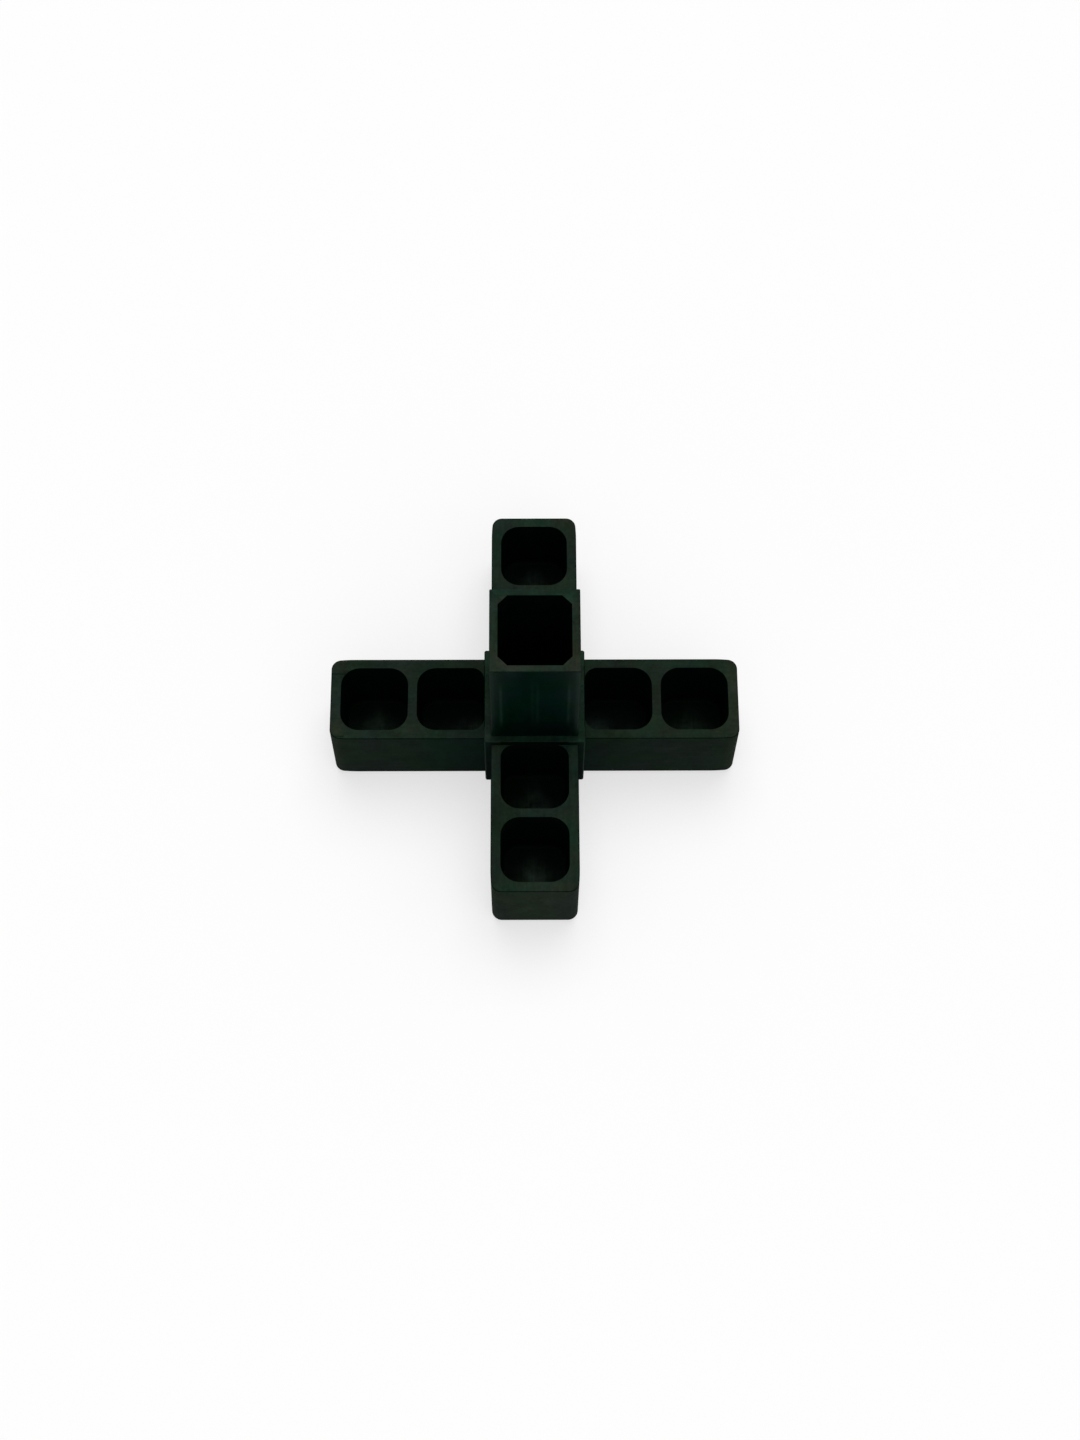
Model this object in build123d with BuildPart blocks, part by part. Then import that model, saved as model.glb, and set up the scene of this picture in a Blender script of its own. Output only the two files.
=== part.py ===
from build123d import *

import os
from math import radians, tan

# Push-in connector for square tube, moulded in one piece of black plastic.
# A cube-shaped hub, as wide as the tube, carries four level arms and one upright post.
# Every arm and the post slide into a tube end until the tube meets the hub's face.
#
# Frame: the origin is the centre of the hub's bottom face, X and Y run along the arms and
# +Z runs up the post. All sizes are in millimetres and all angles in degrees.

# The tube that the connector takes
tube_outside = 25.0
tube_wall = 1.6
fit_gap = 0.1  # between an arm and the inside of the tube, on each side

# Level arms
arm_count = 4
arm_reach = 38.2  # from the hub's face to the end of the arm
lead_in_length = 6.0  # the sides curve inwards over this length, to find the tube
lead_in_depth = 0.4
arm_end_radius = 2.5  # upright edges at the end of an arm
arm_bottom_radius = 0.4
arm_top_radius = 0.3

# Pockets that core out the arms from above
pocket_count = 2  # in each arm
side_wall = 2.4
end_wall = 2.5
rib_wall = 2.2  # between two pockets of one arm
pocket_floor = 2.3
pocket_corner_radius = 4.7
hub_corner_radius = 3.2  # the two pocket corners beside the hub
pocket_foot_radius = 1.0
core_draft = 0.5

# Hub
hub_edge_radius = 0.5  # its four upright edges
hub_rim_radius = 0.4  # round its top and bottom faces

# Upright post
post_reach = 38.0  # from the hub's top face to the post's rim
post_draft = 0.15
post_edge_radius = 0.4
post_rim_radius = 0.25
post_side_wall = 1.95  # left and right of the bore
post_face_wall = 1.65  # in front of the bore and behind it
bore_chamfer = 2.3  # flat corners of the square bore
bore_floor = 2.3
bore_foot_radius = 1.0

# Sizes that follow from those above
section = tube_outside - 2 * (tube_wall + fit_gap)
half_section = section / 2
hub_half = tube_outside / 2
shoulder = hub_half - half_section  # the hub stands proud of each arm by this much
arm_bottom = shoulder
arm_top = arm_bottom + section
arm_end = hub_half + arm_reach
arm_root = hub_half - shoulder / 2  # hidden inside the hub, clear of the arms beside it
lead_in_start = arm_end - lead_in_length
arm_end_half = half_section - lead_in_depth

pocket_width = section - 2 * side_wall
pocket_length = (arm_reach - end_wall - (pocket_count - 1) * rib_wall) / pocket_count
pocket_pitch = pocket_length + rib_wall
pocket_depth = section - pocket_floor
hub_pocket_centre = hub_half + pocket_length / 2

hub_top = tube_outside
post_top = hub_top + post_reach
rim_section = section - 2 * post_reach * tan(radians(post_draft))
bore_width = rim_section - 2 * post_side_wall
bore_length = rim_section - 2 * post_face_wall
bore_depth = post_top - bore_floor


# One arm seen from above, pointing along +X: straight sides, then the curved lead-in
with BuildSketch() as arm_outline:
    with BuildLine():
        Line((arm_root, -half_section), (arm_root, half_section))
        for side in (-1, 1):
            Line((arm_root, side * half_section), (lead_in_start, side * half_section))
            TangentArc(
                (lead_in_start, side * half_section),
                (arm_end, side * arm_end_half),
                tangent=(1, 0),
            )
        Line((arm_end, -arm_end_half), (arm_end, arm_end_half))
    make_face()
    fillet(arm_outline.vertices().group_by(Axis.X)[-1], radius=arm_end_radius)


with BuildPart() as connector:
    # Four arms, still apart from one another
    with BuildSketch(Plane.XY.offset(arm_bottom)):
        with PolarLocations(0, arm_count):
            add(arm_outline.sketch)
    extrude(amount=section)

    # Their lower and upper edges are rounded, but not those that end up inside the hub
    lower_edges = connector.edges().group_by(Axis.Z)[0]
    fillet(lower_edges - lower_edges.group_by(SortBy.DISTANCE)[0], radius=arm_bottom_radius)
    upper_edges = connector.edges().group_by(Axis.Z)[-1]
    fillet(upper_edges - upper_edges.group_by(SortBy.DISTANCE)[0], radius=arm_top_radius)

    # The hub joins the arms
    with BuildSketch():
        RectangleRounded(tube_outside, tube_outside, hub_edge_radius)
    extrude(amount=hub_top)
    fillet(connector.edges().group_by(Axis.Z)[0], radius=hub_rim_radius)
    fillet(connector.edges().group_by(Axis.Z)[-1], radius=hub_rim_radius)

    # The post stands on the hub and narrows a little towards its rim
    with BuildSketch(Plane.XY.offset(hub_top)):
        RectangleRounded(section, section, post_edge_radius)
    extrude(amount=post_reach, taper=post_draft)
    fillet(connector.edges().group_by(Axis.Z)[-1], radius=post_rim_radius)

    # Pockets: the first in each arm starts flush with the hub's face and has tighter corners
    # there, and the others follow at the pocket pitch
    with BuildSketch(Plane.XY.offset(arm_top)) as hub_pocket_mouths:
        with PolarLocations(hub_pocket_centre, arm_count):
            Rectangle(pocket_length, pocket_width)
        hub_corners = hub_pocket_mouths.vertices().group_by(SortBy.DISTANCE)[0]
        fillet(hub_corners, radius=hub_corner_radius)
        rib_corners = hub_pocket_mouths.vertices().group_by(SortBy.DISTANCE)[-1]
        fillet(rib_corners, radius=pocket_corner_radius)
    extrude(amount=-pocket_depth, taper=core_draft, mode=Mode.SUBTRACT)
    fillet(connector.edges(Select.LAST).group_by(Axis.Z)[0], radius=pocket_foot_radius)

    for index in range(1, pocket_count):
        with BuildSketch(Plane.XY.offset(arm_top)):
            with PolarLocations(hub_pocket_centre + index * pocket_pitch, arm_count):
                RectangleRounded(pocket_length, pocket_width, pocket_corner_radius)
        extrude(amount=-pocket_depth, taper=core_draft, mode=Mode.SUBTRACT)
        fillet(connector.edges(Select.LAST).group_by(Axis.Z)[0], radius=pocket_foot_radius)

    # The bore, nearly square, runs down through the post and the hub to a closed floor
    with BuildSketch(Plane.XY.offset(post_top)) as bore_mouth:
        Rectangle(bore_width, bore_length)
        chamfer(bore_mouth.vertices(), length=bore_chamfer)
    extrude(amount=-bore_depth, taper=core_draft, mode=Mode.SUBTRACT)
    fillet(connector.edges(Select.LAST).group_by(Axis.Z)[0], radius=bore_foot_radius)

connector.part.label = "connector"

os.makedirs("parts", exist_ok=True)
export_step(connector.part, "parts/connector.step")
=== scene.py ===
from math import cos, radians, sin

import bpy
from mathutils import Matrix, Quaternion, Vector


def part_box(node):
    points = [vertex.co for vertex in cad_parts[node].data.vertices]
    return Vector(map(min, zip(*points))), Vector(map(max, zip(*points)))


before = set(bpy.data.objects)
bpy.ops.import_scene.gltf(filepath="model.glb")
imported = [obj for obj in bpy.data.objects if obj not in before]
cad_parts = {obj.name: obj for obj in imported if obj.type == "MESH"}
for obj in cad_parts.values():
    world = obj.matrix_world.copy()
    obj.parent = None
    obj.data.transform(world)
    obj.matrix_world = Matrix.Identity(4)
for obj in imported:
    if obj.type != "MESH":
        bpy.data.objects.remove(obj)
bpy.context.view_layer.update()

MM = 0.001
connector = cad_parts["connector"]

# ---------------------------------------------------------------- camera
CAM_LENS = 59.1  # mm, as the sensor's width is
CAM_SENSOR = 36.0
CAM_DISTANCE = 0.589
CAM_AZIMUTH = radians(-0.84)
CAM_ELEVATION = radians(66.77)
CAM_ROLL = radians(0.65)
CAM_TARGET = Vector((0.00136, -0.00437, 0.020))


def make_camera():
    data = bpy.data.cameras.new("camera")
    data.lens = CAM_LENS
    data.sensor_width = CAM_SENSOR
    camera = bpy.data.objects.new("camera", data)
    bpy.context.scene.collection.objects.link(camera)
    level = cos(CAM_ELEVATION)
    back = Vector((sin(CAM_AZIMUTH) * level, -cos(CAM_AZIMUTH) * level, sin(CAM_ELEVATION)))
    camera.location = CAM_TARGET + back * CAM_DISTANCE
    camera.rotation_mode = "QUATERNION"
    facing = (-back).to_track_quat("-Z", "Y")
    camera.rotation_quaternion = facing @ Quaternion((0, 0, 1), CAM_ROLL)
    bpy.context.scene.camera = camera


# ---------------------------------------------------------------- node helpers
# Sockets of a Mix node, which has a set for numbers and a set for colours
MIX_FACTOR, MIX_NUMBER_A, MIX_NUMBER_B, MIX_COLOUR_A, MIX_COLOUR_B = 0, 2, 3, 6, 7
MIX_NUMBER_RESULT, MIX_COLOUR_RESULT = 0, 2


class Nodes:
    """A short way to write a node tree. A value is a number, a colour or another node's output."""

    def __init__(self, tree):
        self.tree = tree
        self.tree.nodes.clear()

    def set_input(self, socket, value):
        if isinstance(value, bpy.types.NodeSocket):
            self.tree.links.new(value, socket)
        else:
            socket.default_value = value

    def add(self, kind, inputs=None, **settings):
        node = self.tree.nodes.new(kind)
        for name, value in settings.items():
            setattr(node, name, value)
        for key, value in (inputs or {}).items():
            self.set_input(node.inputs[key], value)
        return node

    def maths(self, operation, *values):
        return self.add("ShaderNodeMath", dict(enumerate(values)), operation=operation).outputs[0]

    def vectors(self, operation, *values):
        return self.add("ShaderNodeVectorMath", dict(enumerate(values)), operation=operation).outputs[0]

    def times(self, first, *others):
        for other in others:
            first = self.maths("MULTIPLY", first, other)
        return first

    def plus(self, first, *others):
        for other in others:
            first = self.maths("ADD", first, other)
        return first

    def rest_of(self, share):
        return self.maths("SUBTRACT", 1.0, share)

    def ramp(self, value, start, end, low=0.0, high=1.0):
        """Goes smoothly from low, where value is start, to high, where it is end."""
        if start > end:
            start, end, low, high = end, start, high, low
        inputs = {"Value": value, "From Min": start, "From Max": end, "To Min": low, "To Max": high}
        return self.add("ShaderNodeMapRange", inputs, interpolation_type="SMOOTHSTEP").outputs[0]

    def bump_at(self, value, centre, half_width):
        """1 where value is centre, falling smoothly to 0 at half_width on each side."""
        away = self.maths("ABSOLUTE", self.maths("SUBTRACT", value, centre))
        return self.ramp(away, half_width, 0.0)

    def noise(self, place, scale, detail=2.0, roughness=0.5, stretch=None):
        """Soft noise about 0, from -0.5 to 0.5. Scale and stretch are in repeats per metre."""
        if stretch:
            place = self.vectors("MULTIPLY", place, stretch)
        inputs = {"Vector": place, "Scale": scale, "Detail": detail, "Roughness": roughness}
        return self.maths("SUBTRACT", self.add("ShaderNodeTexNoise", inputs).outputs[0], 0.5)

    def blend(self, factor, first, second):
        """A colour that is first where factor is 0 and second where it is 1."""
        inputs = {MIX_FACTOR: factor, MIX_COLOUR_A: (*first, 1.0), MIX_COLOUR_B: (*second, 1.0)}
        return self.add("ShaderNodeMix", inputs, data_type="RGBA").outputs[MIX_COLOUR_RESULT]

    def mix(self, factor, first, second):
        """A number that is first where factor is 0 and second where it is 1."""
        inputs = {MIX_FACTOR: factor, MIX_NUMBER_A: first, MIX_NUMBER_B: second}
        return self.add("ShaderNodeMix", inputs).outputs[MIX_NUMBER_RESULT]

    def shade(self, colour, amount):
        """The colour made brighter or darker by a factor."""
        inputs = {0: colour, "Scale": amount}
        return self.add("ShaderNodeVectorMath", inputs, operation="SCALE").outputs[0]


def new_material(name):
    material = bpy.data.materials.new(name)
    material.use_nodes = True
    return material, Nodes(material.node_tree)


# ---------------------------------------------------------------- sizes of the connector
ARM_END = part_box("connector")[1].x
ARM_HALF = 10.8 * MM
ARM_TOP = 23.3 * MM
POCKET_HALF = 8.4 * MM
POCKET_FLOOR = 4.0 * MM
END_WALL = 2.5 * MM
RIB_WALL = 2.2 * MM
HUB_HALF = 12.5 * MM
HUB_TOP = 25.0 * MM
POST_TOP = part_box("connector")[1].z
BORE_HALF = 9.05 * MM
POCKET_LENGTH = (ARM_END - HUB_HALF - END_WALL - RIB_WALL) / 2
POCKET_PITCH = POCKET_LENGTH + RIB_WALL

# ---------------------------------------------------------------- where the looks change
# How far a mask reaches past a face or an edge, or fades next to it
HAIR = 0.05 * MM
MARGIN = 0.1 * MM
WIDE_MARGIN = 0.2 * MM
POST_FADE = 0.3 * MM
RIM_DEPTH = 0.35 * MM
BORE_FADE = 0.4 * MM
FLOOR_MARGIN = 1.0 * MM

# Each pair below is where a ramp starts and ends. The first three are parts of a face's normal: the
# part along z, for level faces and for the arms' top edges, and the largest one along any axis
LEVEL_FACE = (0.75, 0.97)
TILTED_FACE = (0.05, 0.25)
ROUNDED_FACE = (0.985, 0.92)

# Along an arm, from the connector's middle
ARM_OUTER = (16.0 * MM, 38.0 * MM)
ARM_TIP = (ARM_END - 3.4 * MM, ARM_END - 2.0 * MM)
NEAR_HUB = (33.0 * MM, 25.0 * MM)

# Along x or y
RIM_SIDE = (7.0 * MM, 9.5 * MM)
BESIDE_POST = (ARM_HALF, ARM_HALF + 0.3 * MM)
FRONT_LEFT_X = (-2.0 * MM, -8.0 * MM)
FRONT_LEFT_Y = (-22.0 * MM, -27.0 * MM)
RIGHT_FACE = (10.0 * MM, 18.0 * MM)
RIGHT_TIP = (0.0, 10.0 * MM)

# Across an arm or the post, from its middle: the post's painted reflections and painted edge highlight,
# and the painted shade beside each arm
CORNER_STRIP = (POCKET_HALF - 0.3 * MM, POCKET_HALF + 0.1 * MM)
EDGE_HIGHLIGHT = (ARM_HALF - 1.30 * MM, ARM_HALF - 0.85 * MM)
ARM_GROOVE = (ARM_HALF + 0.6 * MM, ARM_HALF + 0.1 * MM)
STRIP_LINE = POCKET_HALF - 0.3 * MM
MIDDLE_LINE = 0.65 * MM
LINE_HALF_WIDTH = 0.6 * MM

# Up the hub and the post: where the post's painted reflection lines fade, the painted reflection near the
# rim, and painted shade at the post's foot and low on the hub
REFLECTION_LINES_TOP = (POST_TOP - 4.0 * MM, POST_TOP - 12.0 * MM)
REFLECTION_LINES_FOOT = (HUB_TOP + 4.0 * MM, HUB_TOP + 11.0 * MM)
NEAR_RIM = (POST_TOP - 12.0 * MM, POST_TOP)
POST_FOOT = (HUB_TOP + 16.0 * MM, HUB_TOP + 3.0 * MM)
LOW_HUB = (HUB_TOP - 4.0 * MM, 0.0)

# The streak of painted light on a pocket's floor, measured forwards from the pocket's middle
STREAK_GROWS = (-7.0 * MM, 0.0)
STREAK_HALF_WIDTHS = (2.6 * MM, 5.5 * MM)
STREAK_RISES = (-8.0 * MM, 1.5 * MM)
STREAK_TO_HUB = 5.0 * MM  # its shift in the x arms' inner pockets
FLOOR_FRONT = (-4.0 * MM, 1.5 * MM)

# Marks of the mould on the end of the left arm, painted as shadow lines of a small step with lighter pads
# beside them: along x, down from the arm's top, and along y
TIP_FACE = (-47.0 * MM, -47.3 * MM)
TIP_DEPTH = 1.0 * MM
TIP_GROOVES = (6.8 * MM, -10.1 * MM)
TIP_GROOVE_HALF_WIDTH = 0.4 * MM
BACK_PAD_STARTS = (6.9 * MM, 7.3 * MM)
FRONT_PAD_STARTS = (-9.7 * MM, -9.4 * MM)
FRONT_PAD_ENDS = (-6.0 * MM, -6.4 * MM)


class Places:
    """Where on the connector a point is: distances in metres, and masks from 0 to 1."""

    def __init__(self, n, place, normal):
        x, y, z = n.add("ShaderNodeSeparateXYZ", {0: place}).outputs
        abs_x, abs_y = n.maths("ABSOLUTE", x), n.maths("ABSOLUTE", y)
        facing = [n.maths("ABSOLUTE", v) for v in n.add("ShaderNodeSeparateXYZ", {0: normal}).outputs]
        self.x, self.y, self.z = x, y, z
        self.along = n.maths("MAXIMUM", abs_x, abs_y)  # distance along the nearest arm
        self.across = n.maths("MINIMUM", abs_x, abs_y)  # distance from that arm's middle
        self.on_x_arm = n.maths("GREATER_THAN", abs_x, abs_y)
        self.level = n.ramp(facing[2], *LEVEL_FACE)
        self.upright = n.rest_of(self.level)
        self.post = n.ramp(z, HUB_TOP, HUB_TOP + POST_FADE)
        self.rim = n.ramp(z, POST_TOP - RIM_DEPTH, POST_TOP - MARGIN)
        self.hub = n.times(n.maths("LESS_THAN", self.along, HUB_HALF + HAIR), n.rest_of(self.post))
        in_pockets = n.times(n.maths("LESS_THAN", self.across, POCKET_HALF + MARGIN),
                             n.maths("GREATER_THAN", self.along, HUB_HALF - MARGIN),
                             n.maths("LESS_THAN", self.along, ARM_END - END_WALL + MARGIN),
                             n.maths("GREATER_THAN", z, POCKET_FLOOR - MARGIN),
                             n.ramp(z, ARM_TOP, ARM_TOP - WIDE_MARGIN))
        in_bore = n.times(n.maths("LESS_THAN", self.along, BORE_HALF + MARGIN),
                          n.ramp(z, POST_TOP - MARGIN, POST_TOP - BORE_FADE))
        above_pocket = n.times(self.hub, self.upright,
                               n.maths("LESS_THAN", self.across, POCKET_HALF),
                               n.maths("GREATER_THAN", z, ARM_TOP - WIDE_MARGIN))
        self.inside = n.maths("MAXIMUM", n.maths("MAXIMUM", in_pockets, in_bore), above_pocket)
        self.outside = n.rest_of(self.inside)
        self.find_edges(n, facing)
        self.find_floor_light(n, in_pockets)
        self.find_tip_marks(n)

    def find_edges(self, n, facing):
        """Rounded edges face between the axes: the arms' top edges, and those of the hub and post."""
        largest = n.maths("MAXIMUM", n.maths("MAXIMUM", facing[0], facing[1]), facing[2])
        rounded = n.ramp(largest, *ROUNDED_FACE)
        body = n.maths("MAXIMUM", self.hub, self.post)
        self.body_edge = n.times(rounded, body, self.outside)
        tilted = n.times(n.ramp(facing[2], *TILTED_FACE), n.rest_of(body))
        self.arm_edge = n.times(rounded, tilted, self.outside)

    def find_floor_light(self, n, in_pockets):
        """Painted light on each pocket's floor: a streak in the middle, nearer the hub in the x arms'
        inner pockets.

        Sideways and forwards are measured from the pocket's middle, forwards towards -y.
        """
        from_hub = n.maths("SUBTRACT", self.along, HUB_HALF)
        within = n.maths("SUBTRACT", n.maths("MODULO", from_hub, POCKET_PITCH), POCKET_LENGTH / 2)
        inner = n.maths("LESS_THAN", self.along, HUB_HALF + POCKET_PITCH)
        x_arm_inner = n.times(self.on_x_arm, inner)
        outwards = n.mix(self.on_x_arm, n.maths("SIGN", self.y), n.maths("SIGN", self.x))
        sideways = n.mix(self.on_x_arm, self.x, n.times(within, outwards))
        middle = n.times(x_arm_inner, outwards, -STREAK_TO_HUB)
        forwards = n.times(n.mix(self.on_x_arm, n.times(within, outwards), self.y), -1.0)
        away = n.maths("ABSOLUTE", n.maths("SUBTRACT", sideways, middle))
        half_width = n.ramp(forwards, *STREAK_GROWS, *STREAK_HALF_WIDTHS)
        narrow = n.ramp(n.maths("DIVIDE", away, half_width), 1.0, 0.0)
        on_floor = n.times(in_pockets, self.level,
                           n.maths("LESS_THAN", self.z, POCKET_FLOOR + FLOOR_MARGIN))
        rising = n.ramp(forwards, *STREAK_RISES)
        self.streak = n.times(on_floor, narrow, rising, n.mix(x_arm_inner, 1.0, rising))
        self.floor_front = n.times(on_floor, n.ramp(forwards, *FLOOR_FRONT))

    def find_tip_marks(self, n):
        """Two lighter pads on the end of the left arm, each with a painted shadow line of a short groove
        in front of it.
        """
        on_tip = n.times(n.ramp(self.x, *TIP_FACE), n.maths("GREATER_THAN", self.z, ARM_TOP - TIP_DEPTH))
        grooves = [n.bump_at(self.y, groove, TIP_GROOVE_HALF_WIDTH) for groove in TIP_GROOVES]
        self.tip_groove_shadow = n.times(on_tip, n.maths("MAXIMUM", *grooves))
        back_pad = n.ramp(self.y, *BACK_PAD_STARTS)
        front_pad = n.times(n.ramp(self.y, *FRONT_PAD_STARTS), n.ramp(self.y, *FRONT_PAD_ENDS))
        self.tip_pad = n.times(on_tip, n.maths("MAXIMUM", back_pad, front_pad))


# ---------------------------------------------------------------- noise of the surface
# Repeats per metre
CLOUD_SCALE = 70.0
SPOT_SCALE = 260.0
GRAIN_SCALE = 1400.0
PATCH_SCALE = 190.0
WARMTH_SCALE = 150.0
HUE_SCALE = 110.0
ARM_RUB_ALONG, ARM_RUB_ACROSS = 60.0, 900.0
POST_RUB_ALONG, POST_RUB_ACROSS = 35.0, 550.0


class Texture:
    """Noise over the moulded surface: clouds, spots, grain, and rub marks along arms and post."""

    def __init__(self, n, place, at):
        self.clouds = n.noise(place, CLOUD_SCALE, detail=4.0, roughness=0.6)
        self.spots = n.noise(place, SPOT_SCALE, detail=3.0, roughness=0.6)
        self.grain = n.noise(place, GRAIN_SCALE, detail=2.0)
        rub_x = n.noise(place, 1.0, detail=3.0, roughness=0.65,
                        stretch=(ARM_RUB_ALONG, ARM_RUB_ACROSS, ARM_RUB_ACROSS))
        self.rub_y = n.noise(place, 1.0, detail=3.0, roughness=0.65,
                             stretch=(ARM_RUB_ACROSS, ARM_RUB_ALONG, ARM_RUB_ACROSS))
        rub_z = n.noise(place, 1.0, detail=2.0, roughness=0.5,
                        stretch=(POST_RUB_ACROSS, POST_RUB_ACROSS, POST_RUB_ALONG))
        use_x = n.maths("ABSOLUTE", n.maths("SUBTRACT", at.on_x_arm, at.post))
        rub_level = n.mix(use_x, self.rub_y, rub_x)
        self.rub = n.mix(n.times(at.post, at.upright), rub_level, rub_z)


# ---------------------------------------------------------------- painted light, highlights and reflections
# Colours of the painted light, cool and warm
COOL_PAINTED_LIGHT = (0.0045, 0.0105, 0.0072)
WARM_PAINTED_LIGHT = (0.0084, 0.0081, 0.0056)
POCKET_FLOOR_LIGHT = (0.0062, 0.0098, 0.0076)  # painted light on the pockets' floors
PATCH_RANGE = (0.05, 0.22)  # of the noise, from no patch to a full one


class LevelPaintedLight:
    """Amounts of painted light on level faces, which are lighter as if lit from above, added to the 1
    that is everywhere on them.
    """
    ARM_TIP = 0.25
    RIM, RIM_BACK, RIM_RIGHT = 0.72, 0.05, 0.12
    BESIDE_POST = 0.5
    # The tip's grooves are painted shadow lines, and the pads are a little lighter
    TIP_PAD, TIP_GROOVE = 0.15, -1.1
    NEAR_HUB_X, NEAR_HUB_Y = -0.15, 0.22
    FRONT_LEFT = -0.22


class SidePaintedLight:
    """Amounts of painted light on the upright faces of the arms and the hub: painted bounce light on the
    arms, and a painted highlight on the hub's rounded edges.
    """
    ARM, ARM_OUTER, ARM_TIP = 0.32, 0.34, 0.35
    RIGHT_NEAR_HUB = 0.08
    # HUB_EDGE is a painted highlight on the hub's rounded edges
    HUB, HUB_EDGE = 0.12, 0.65
    ARM_EDGE = 0.25  # a factor on the arms' top edges, which get less painted light, for a painted shadow line


class PostPaintedLight:
    """Amounts of painted light on the post's upright faces: painted reflections in strips and lines, and
    a painted highlight along its rounded edges. The lines beside the middle ones have an amount of 1.
    """
    CORNER_STRIP = 0.05
    EDGE_HIGHLIGHT = 0.36
    HIGHLIGHT_PER_METRE = 9.0  # the painted highlight is stronger to the right
    MIDDLE_LINE = 0.42
    NEAR_RIM = 0.12


class PaintedLightNoise:
    """How strongly each kind of noise changes the amount of painted light."""
    PATCHES, RUB, CLOUDS, SPOTS, GRAIN = 0.45, 1.2, 1.2, 1.3, 0.8


class PocketPaintedLight:
    """Amounts of painted light on the pockets' floors, and how strongly noise changes them."""
    STREAK, FRONT = 1.5, 0.35
    SPOTS, RUB = 4.0, 2.5


class Warmth:
    """What turns the painted light's colour from cool, at 0, to warm, at 1; the warm parts stand for
    painted reflections.
    """
    ARM_OUTER, RIGHT_FACE = 1.3, 1.1
    LEVEL = 0.45
    TIP_PAD, RIGHT_TIP = 0.4, 0.6
    BESIDE_POST = -0.35
    PER_METRE = 2.0  # more to the right
    RIM_RIGHT, RIM_BACK = 0.5, -0.6
    NOISE = 3.2


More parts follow.
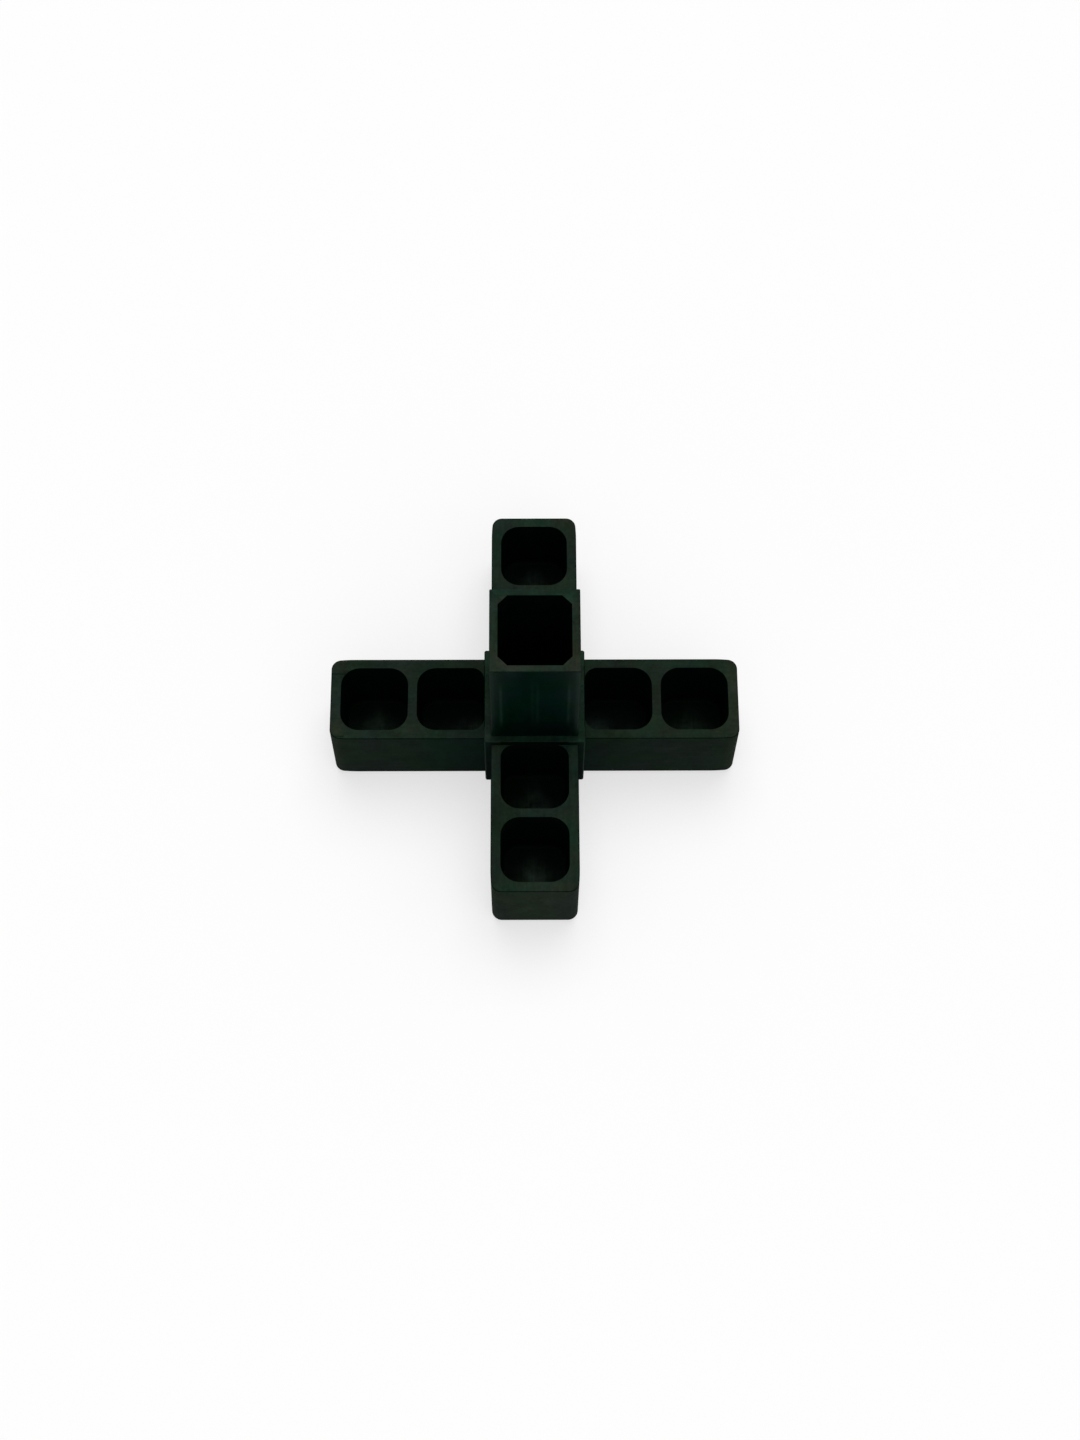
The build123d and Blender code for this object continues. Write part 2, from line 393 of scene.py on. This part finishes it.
def painted_light_colour(n, place, at, texture):
    """Painted light added to the colour: most on level faces, the arms' ends and the post's rim. It
    stands for light from above, bounce, reflections and highlights, made uneven by noise.
    """
    outer = n.ramp(at.along, *ARM_OUTER)
    end = n.ramp(at.along, *ARM_TIP)
    behind = n.ramp(at.y, *RIM_SIDE)
    rim_right = n.ramp(at.x, *RIM_SIDE)
    beside_post = n.times(at.hub, n.ramp(n.maths("ABSOLUTE", at.x), *BESIDE_POST))
    near_hub = n.times(n.ramp(at.along, *NEAR_HUB), n.rest_of(at.hub))
    front_left = n.times(n.ramp(at.x, *FRONT_LEFT_X), n.ramp(at.y, *FRONT_LEFT_Y))
    # Level faces get painted light, lighter as if lit from above
    on_level = n.plus(1.0, n.times(end, LevelPaintedLight.ARM_TIP),
                      n.times(at.rim, n.mix(behind, LevelPaintedLight.RIM, LevelPaintedLight.RIM_BACK)),
                      n.times(at.rim, rim_right, LevelPaintedLight.RIM_RIGHT),
                      n.times(beside_post, LevelPaintedLight.BESIDE_POST),
                      n.times(at.tip_pad, LevelPaintedLight.TIP_PAD),
                      n.times(at.tip_groove_shadow, LevelPaintedLight.TIP_GROOVE),
                      n.times(near_hub, n.mix(at.on_x_arm, LevelPaintedLight.NEAR_HUB_Y, LevelPaintedLight.NEAR_HUB_X)),
                      n.times(front_left, LevelPaintedLight.FRONT_LEFT))
    right_face = n.ramp(at.x, *RIGHT_FACE)
    # Painted bounce light on the arms' upright faces, more at their outer parts and ends
    on_arm_side = n.plus(SidePaintedLight.ARM, n.times(outer, SidePaintedLight.ARM_OUTER), n.times(end, SidePaintedLight.ARM_TIP),
                         n.times(right_face, near_hub, SidePaintedLight.RIGHT_NEAR_HUB))
    on_side = n.mix(at.hub, on_arm_side, SidePaintedLight.HUB)

    # Painted reflections on the post's faces, and a painted highlight along its rounded edges
    corner_strip = n.times(n.ramp(at.across, *CORNER_STRIP), PostPaintedLight.CORNER_STRIP)
    edge_highlight = n.times(n.ramp(at.across, *EDGE_HIGHLIGHT),
                        n.plus(PostPaintedLight.EDGE_HIGHLIGHT, n.times(at.x, PostPaintedLight.HIGHLIGHT_PER_METRE)))
    reflection_lines_height = n.times(n.ramp(at.z, *REFLECTION_LINES_TOP), n.ramp(at.z, *REFLECTION_LINES_FOOT))
    strip_line = n.times(n.bump_at(at.across, STRIP_LINE, LINE_HALF_WIDTH), reflection_lines_height)
    middle_line = n.times(n.bump_at(at.across, MIDDLE_LINE, LINE_HALF_WIDTH), PostPaintedLight.MIDDLE_LINE,
                          reflection_lines_height)
    near_rim = n.times(n.ramp(at.z, *NEAR_RIM), PostPaintedLight.NEAR_RIM)
    on_post = n.plus(corner_strip, edge_highlight, strip_line, middle_line, near_rim)

    amount = n.mix(at.level, n.mix(at.post, on_side, on_post), on_level)
    # A painted highlight on the hub's rounded edges; the arms' top edges get less painted light, for a
    # painted shadow line
    amount = n.times(n.plus(amount, n.times(at.body_edge, at.hub, SidePaintedLight.HUB_EDGE)),
                     n.mix(at.arm_edge, 1.0, SidePaintedLight.ARM_EDGE))
    patch_noise = n.noise(place, PATCH_SCALE, detail=5.0, roughness=0.7)
    patches = n.times(n.ramp(patch_noise, *PATCH_RANGE), PaintedLightNoise.PATCHES)
    uneven = n.plus(1.0, patches, n.times(texture.rub, PaintedLightNoise.RUB),
                    n.times(texture.clouds, PaintedLightNoise.CLOUDS), n.times(texture.spots, PaintedLightNoise.SPOTS),
                    n.times(texture.grain, PaintedLightNoise.GRAIN))
    amount = n.times(amount, uneven, at.outside)
    # Painted light on the pockets' floors: a streak and a lighter front part
    in_pockets = n.times(n.plus(n.times(at.streak, PocketPaintedLight.STREAK),
                                n.times(at.floor_front, PocketPaintedLight.FRONT)),
                         n.plus(1.0, n.times(texture.spots, PocketPaintedLight.SPOTS),
                                n.times(texture.rub_y, PocketPaintedLight.RUB)))

    right_tip = n.times(n.ramp(at.x, *RIGHT_TIP), end)
    side_warmth = n.plus(n.times(outer, Warmth.ARM_OUTER),
                         n.times(right_face, n.rest_of(outer), Warmth.RIGHT_FACE))
    warmth_noise = n.noise(place, WARMTH_SCALE, detail=3.0, roughness=0.6)
    warmth = n.plus(n.mix(at.level, side_warmth, Warmth.LEVEL),
                    n.times(at.tip_pad, Warmth.TIP_PAD),
                    n.times(beside_post, Warmth.BESIDE_POST),
                    n.times(right_tip, Warmth.RIGHT_TIP),
                    n.times(at.x, Warmth.PER_METRE),
                    n.times(at.rim, rim_right, Warmth.RIM_RIGHT),
                    n.times(at.rim, behind, Warmth.RIM_BACK),
                    n.times(warmth_noise, Warmth.NOISE))
    in_the_open = n.shade(n.blend(warmth, COOL_PAINTED_LIGHT, WARM_PAINTED_LIGHT), amount)
    return n.vectors("ADD", in_the_open, n.shade(POCKET_FLOOR_LIGHT, in_pockets))


# ---------------------------------------------------------------- clean plastic
CLEAN_GREEN = (0.0003, 0.0084, 0.0040)
CLEAN_BLUE = (0.0012, 0.0072, 0.0062)
HUE_NOISE = 5.0


class ToneNoise:
    """How strongly each kind of noise changes the brightness."""
    CLOUDS, RUB, SPOTS = 1.3, 0.5, 0.6
    GRAIN, GRAIN_ON_POST = 0.7, 0.3


class Shade:
    """Factors of painted shade that darken the plastic.

    Painted shade lies in the groove beside each arm, at the foot of the hub and that of the post, inside
    the pockets and the bore, and along the arms' top edges.
    """
    IN_PAINTED_SHADE = 0.45
    INSIDE_UPRIGHT, INSIDE_LEVEL = 0.28, 0.42
    # ARM_EDGE darkens the arms' top edges, a painted shadow line
    ARM_EDGE = 0.6


def clean_colour(n, place, at, texture):
    """The bare plastic. It varies a little in hue, and painted shade darkens it in sheltered places and
    hollows.
    """
    hue_noise = n.noise(place, HUE_SCALE, detail=3.0)
    clean = n.blend(n.plus(0.5, n.times(hue_noise, HUE_NOISE)), CLEAN_GREEN, CLEAN_BLUE)
    grain_share = n.mix(at.post, ToneNoise.GRAIN, ToneNoise.GRAIN_ON_POST)
    tone = n.plus(1.0, n.times(texture.clouds, ToneNoise.CLOUDS), n.times(texture.grain, grain_share),
                  n.times(texture.rub, ToneNoise.RUB), n.times(texture.spots, ToneNoise.SPOTS))
    # Painted shade: darker at the post's foot, in the groove beside each arm and low on the hub
    foot = n.times(at.post, at.upright, n.ramp(at.z, *POST_FOOT))
    groove = n.times(at.hub, at.upright, n.ramp(at.across, *ARM_GROOVE))
    low_hub = n.times(at.hub, at.upright, n.ramp(at.z, *LOW_HUB))
    painted_shade = n.maths("MAXIMUM", n.maths("MAXIMUM", foot, groove), low_hub)
    # Painted shade inside the pockets and the bore, and a painted shadow line along the arms' top edges
    shade = n.mix(painted_shade, 1.0, Shade.IN_PAINTED_SHADE)
    inside_shade = n.mix(at.level, Shade.INSIDE_UPRIGHT, Shade.INSIDE_LEVEL)
    shade = n.times(n.mix(at.inside, shade, inside_shade), n.mix(at.arm_edge, 1.0, Shade.ARM_EDGE))
    return n.shade(clean, n.times(tone, shade))


# ---------------------------------------------------------------- gloss and relief
GLOSS_IOR = 1.5
GLOSS_LEVEL = 0.020
GLOSS_TINT = (1.0, 0.7, 0.45, 1.0)


class Rough:
    """Roughness: the post is the smoothest, and the arms' upright sides are the dullest."""
    ARM_SIDE, POST, LEVEL, INSIDE_OR_EDGE = 0.80, 0.36, 0.42, 0.6
    CLOUDS, RUB = 0.12, 0.10


class Relief:
    """The fine relief of the moulded surface, as shares of its depth."""
    DEPTH = 0.02 * MM
    GRAIN, CLOUDS, RUB = 0.6, 1.5, 0.5
    ON_POST = 0.04


def plastic():
    material, n = new_material("black_plastic")
    source = n.add("ShaderNodeTexCoord").outputs
    place = source["Object"]
    at = Places(n, place, source["Normal"])
    texture = Texture(n, place, at)
    # The bare plastic, with its painted shade, plus the painted light
    painted_light = painted_light_colour(n, place, at, texture)
    colour = n.vectors("ADD", clean_colour(n, place, at, texture), painted_light)

    open_roughness = n.mix(at.level, n.mix(at.post, Rough.ARM_SIDE, Rough.POST), Rough.LEVEL)
    roughness = n.mix(n.maths("MAXIMUM", at.inside, at.body_edge), open_roughness, Rough.INSIDE_OR_EDGE)
    roughness = n.plus(roughness, n.times(texture.clouds, Rough.CLOUDS), n.times(texture.rub, Rough.RUB))
    height = n.times(n.plus(n.times(texture.grain, Relief.GRAIN), n.times(texture.clouds, Relief.CLOUDS),
                            n.times(texture.rub, Relief.RUB)),
                     n.mix(at.post, 1.0, Relief.ON_POST))
    relief = {"Height": height, "Distance": Relief.DEPTH, "Strength": 1.0}
    bump = n.add("ShaderNodeBump", relief).outputs[0]

    shader = n.add("ShaderNodeBsdfPrincipled", {
        "Base Color": colour,
        "Roughness": roughness,
        "IOR": GLOSS_IOR,
        "Specular IOR Level": GLOSS_LEVEL,
        "Specular Tint": GLOSS_TINT,
        "Normal": bump,
    })
    n.add("ShaderNodeOutputMaterial", {"Surface": shader.outputs[0]})
    return material


connector.data.materials.clear()
connector.data.materials.append(plastic())

# ---------------------------------------------------------------- stage and light
WHITE = (1.0, 1.0, 1.0, 1.0)
FLOOR_SIZE = 60.0
FLOOR_COLOUR = (0.95, 0.95, 0.95, 1.0)
FLOOR_WHITE_SHARE = 0.6
ROOM_LIGHT = 0.34  # the level that the white room gives to surfaces
KEY_WAY = (0.06, 0.39, 0.92)  # (right, away, up)
KEY_SPREAD = radians(50.0)
KEY_STRENGTH = 1.60
FILL_WAY = (0.15, -0.50, 0.85)
FILL_SPREAD = radians(60.0)
FILL_STRENGTH = 0.80


def seen_directly(n):
    """1 for what the camera sees, straight or in a shiny or clear surface. 0 for light on its way."""
    path = n.add("ShaderNodeLightPath").outputs
    seen = n.maths("MAXIMUM", path["Is Camera Ray"], path["Is Glossy Ray"])
    return n.maths("MAXIMUM", seen, path["Is Transmission Ray"])


def make_floor():
    """A pale floor that keeps the shadow, with some plain white mixed into what is seen directly."""
    bpy.ops.mesh.primitive_plane_add(size=FLOOR_SIZE)
    floor = bpy.context.object
    floor.name = "floor"
    material, n = new_material("floor")
    matt = n.add("ShaderNodeBsdfDiffuse", {"Color": FLOOR_COLOUR}).outputs[0]
    white = n.add("ShaderNodeEmission", {"Color": WHITE, "Strength": 1.0}).outputs[0]
    share = n.times(seen_directly(n), FLOOR_WHITE_SHARE)
    shader = n.add("ShaderNodeMixShader", {0: share, 1: matt, 2: white})
    n.add("ShaderNodeOutputMaterial", {"Surface": shader.outputs[0]})
    floor.data.materials.append(material)


def make_world():
    """A white room: dimmer as a source of light than it looks, so that the key light gives the shape."""
    world = bpy.data.worlds.new("world")
    world.use_nodes = True
    n = Nodes(world.node_tree)
    light = n.mix(seen_directly(n), ROOM_LIGHT, 1.0)
    shader = n.add("ShaderNodeBackground", {"Color": WHITE, "Strength": light})
    n.add("ShaderNodeOutputWorld", {"Surface": shader.outputs[0]})
    bpy.context.scene.world = world


def make_lamp(name, way, spread, strength):
    """A far, very large soft light, so that the floor is as bright far off as near the part."""
    data = bpy.data.lights.new(name, "SUN")
    data.angle = spread
    data.energy = strength
    lamp = bpy.data.objects.new(name, data)
    bpy.context.scene.collection.objects.link(lamp)
    lamp.location = way
    lamp.rotation_mode = "QUATERNION"
    lamp.rotation_quaternion = Vector(way).to_track_quat("Z", "Y")


make_camera()
make_floor()
make_world()
make_lamp("key_light", KEY_WAY, KEY_SPREAD, KEY_STRENGTH)
make_lamp("fill_light", FILL_WAY, FILL_SPREAD, FILL_STRENGTH)

scene = bpy.context.scene
scene.view_settings.view_transform = "Standard"
